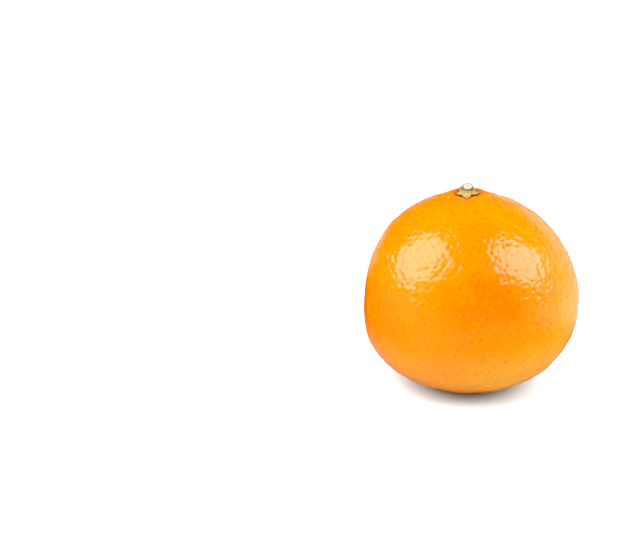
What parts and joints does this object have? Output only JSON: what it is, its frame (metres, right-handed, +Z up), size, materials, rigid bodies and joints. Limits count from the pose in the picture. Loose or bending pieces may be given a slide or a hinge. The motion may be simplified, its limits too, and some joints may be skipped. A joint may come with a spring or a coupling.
{
  "type": "orange",
  "caption": "Fresh whole orange standing on a small flat spot, with its star-shaped calyx and short cut stem on top.",
  "frame": {"origin": "middle of the flat spot the fruit rests on", "axes": "+Z up towards the stem end, -Y the side seen in the reference view, +X to its right"},
  "size_m": [0.0722, 0.0709, 0.0696],
  "materials": {
    "rind": "waxy, satin gloss",
    "calyx": "dry, matt",
    "stem": "cut wood, matt"
  },
  "bodies": {
    "root": {"fruit": "rind", "calyx": "calyx", "stem_stub": "stem"}
  },
  "joints": []
}
